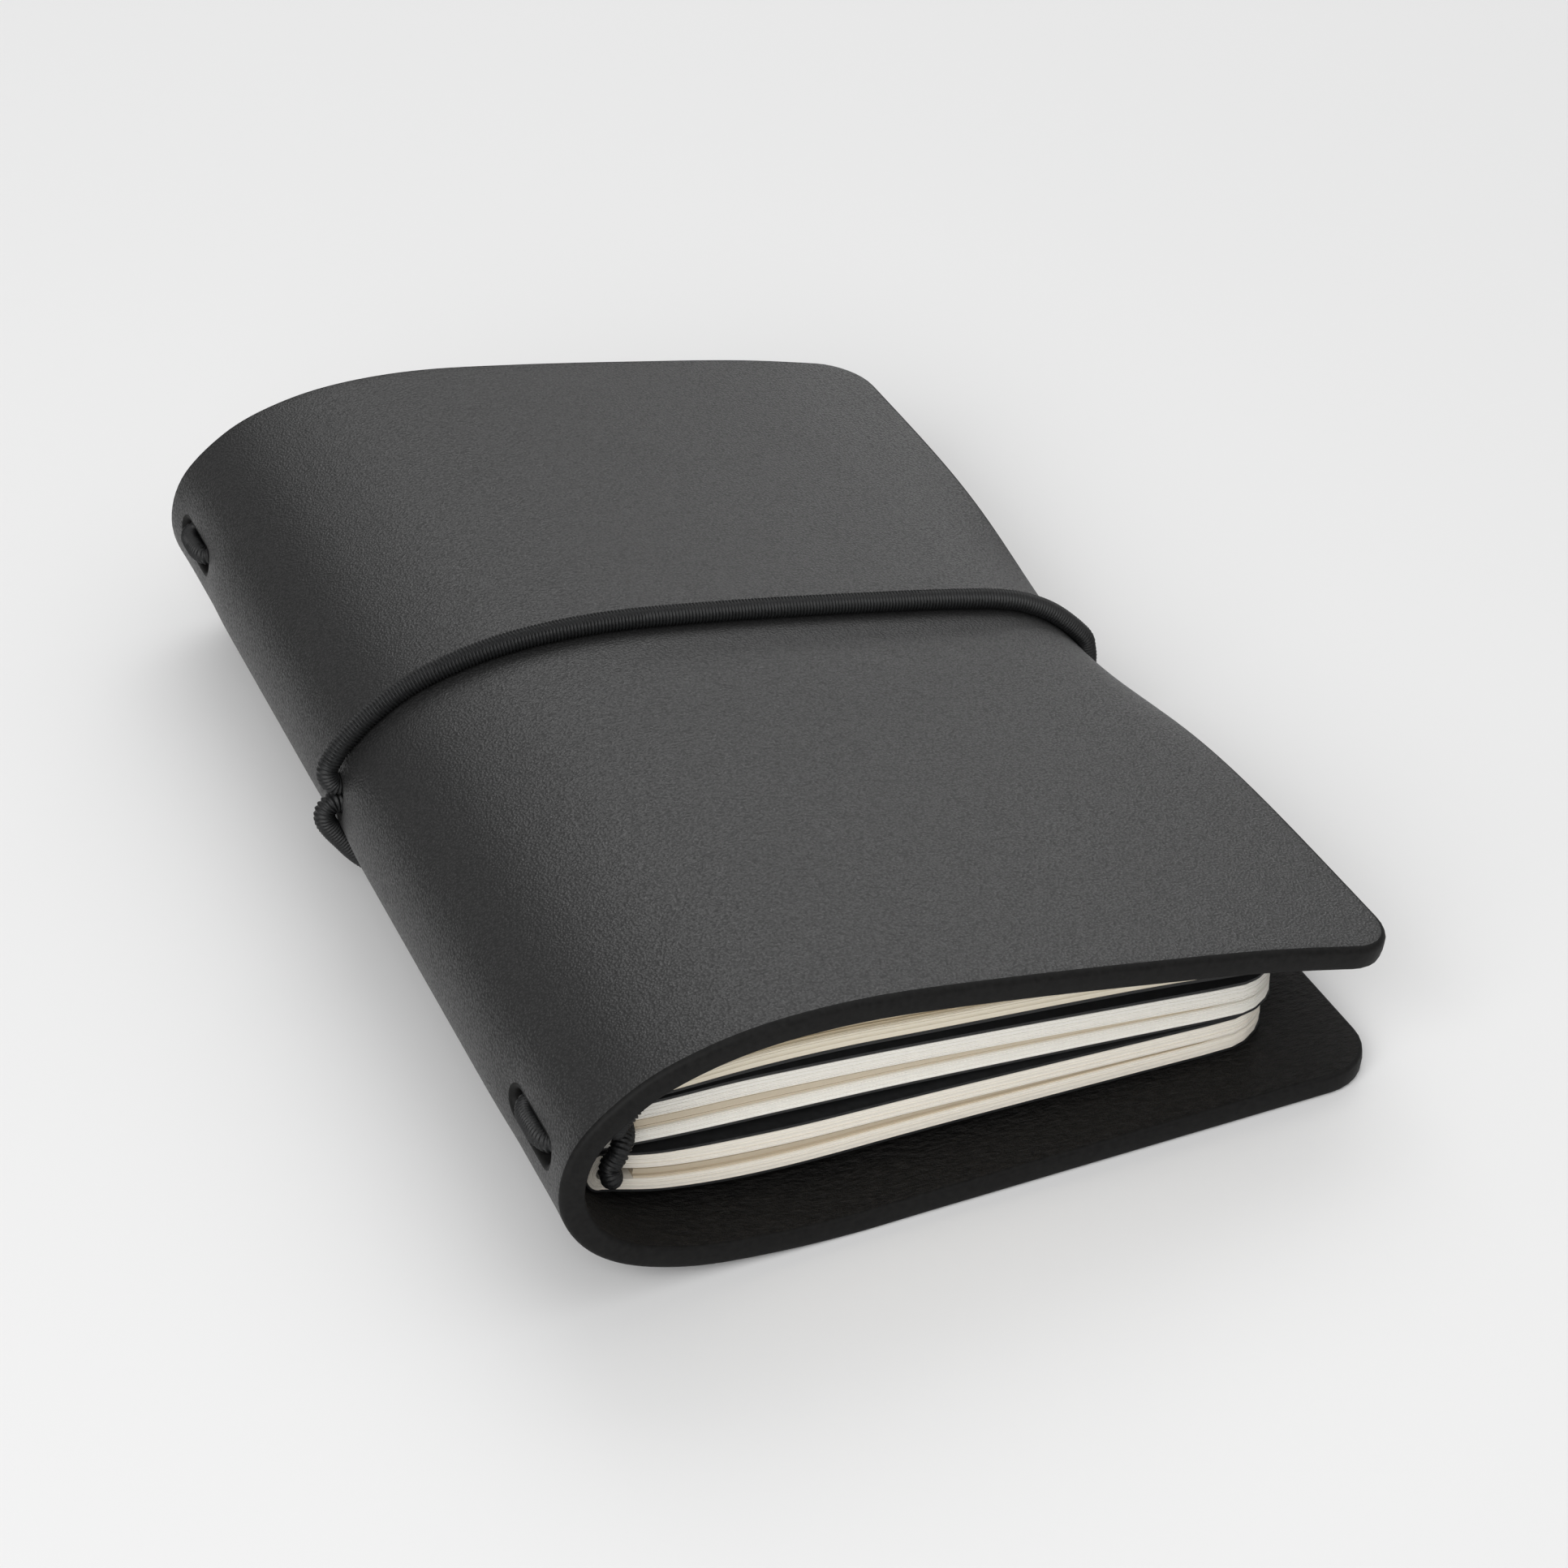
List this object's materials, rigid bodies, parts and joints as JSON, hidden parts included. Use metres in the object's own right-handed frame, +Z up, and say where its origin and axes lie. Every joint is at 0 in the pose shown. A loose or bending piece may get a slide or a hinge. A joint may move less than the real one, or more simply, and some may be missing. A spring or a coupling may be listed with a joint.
{
  "type": "leather notebook cover",
  "caption": "Wrap-around leather notebook cover with booklets held by elastic cords in its spine and an elastic band round its middle.",
  "frame": {"origin": "on the flat underside of the back panel, under the middle of the closed cover", "axes": "+X from the spine to the fore-edge, +Y along the spine, +Z up out of the front cover"},
  "size_m": [0.1131, 0.1574, 0.0367],
  "materials": {
    "leather": "satin",
    "paper_ivory": "matte",
    "paper_white": "matte",
    "paper_cream": "matte",
    "black_card": "matte",
    "thread": "matte",
    "elastic_cord": "matte"
  },
  "bodies": {
    "back_cover": {"leather_back_panel": "leather", "closing_band": "elastic_cord", "booklet_3_front_card": "black_card", "booklet_3_front_pages": "paper_cream", "booklet_3_back_pages": "paper_cream", "booklet_3_back_card": "black_card", "booklet_3_stitching": "thread", "booklet_3_elastic": "elastic_cord"},
    "spine": {"leather_spine": "leather", "closing_band_knot": "elastic_cord", "elastic_near_run": "elastic_cord", "elastic_far_run": "elastic_cord", "elastic_near_bridge": "elastic_cord", "elastic_far_bridge": "elastic_cord"},
    "front_cover": {"leather_front_panel": "leather"},
    "booklet_1": {"booklet_1_front_card": "black_card", "booklet_1_front_pages": "paper_ivory", "booklet_1_back_pages": "paper_ivory", "booklet_1_back_card": "black_card", "booklet_1_stitching": "thread", "booklet_1_elastic": "elastic_cord"},
    "booklet_2_front_half": {"booklet_2_front_card": "black_card", "booklet_2_front_pages": "paper_white"},
    "booklet_2_back_half": {"booklet_2_back_pages": "paper_white", "booklet_2_back_card": "black_card", "booklet_2_stitching": "thread", "booklet_2_elastic": "elastic_cord"}
  },
  "joints": [
    {"name": "spine_roll", "type": "hinge", "parent": "back_cover", "child": "spine", "pos_m": [-0.0456, 0, 0.0057], "axis": [0, -1, 0], "range_deg": [0, 82.5]},
    {"name": "cover_open", "type": "hinge", "parent": "spine", "child": "front_cover", "pos_m": [-0.0436, 0, 0.0295], "axis": [0, -1, 0], "range_deg": [0, 106], "deforming": ["closing_band", "elastic_near_bridge", "elastic_far_bridge"]},
    {"name": "booklet_1_shift", "type": "slide", "parent": "front_cover", "child": "booklet_1", "axis": [-0.9947, 0, 0.1025], "range_m": [0, 0.00449]},
    {"name": "booklet_2_front_shift", "type": "slide", "parent": "front_cover", "child": "booklet_2_front_half", "axis": [-0.9953, 0, 0.0968], "range_m": [0, 0.01177]},
    {"name": "booklet_2_back_shift", "type": "slide", "parent": "back_cover", "child": "booklet_2_back_half", "axis": [-0.9321, 0, 0.3622], "range_m": [0, 0.01055]}
  ],
  "couplings": [
    {"joint": "spine_roll", "follows": "cover_open", "ratio": 0.77358},
    {"joint": "booklet_1_shift", "follows": "cover_open", "m_per_rad": 0.0023205},
    {"joint": "booklet_2_front_shift", "follows": "cover_open", "m_per_rad": 0.006256},
    {"joint": "booklet_2_back_shift", "follows": "cover_open", "m_per_rad": 0.0055961}
  ]
}
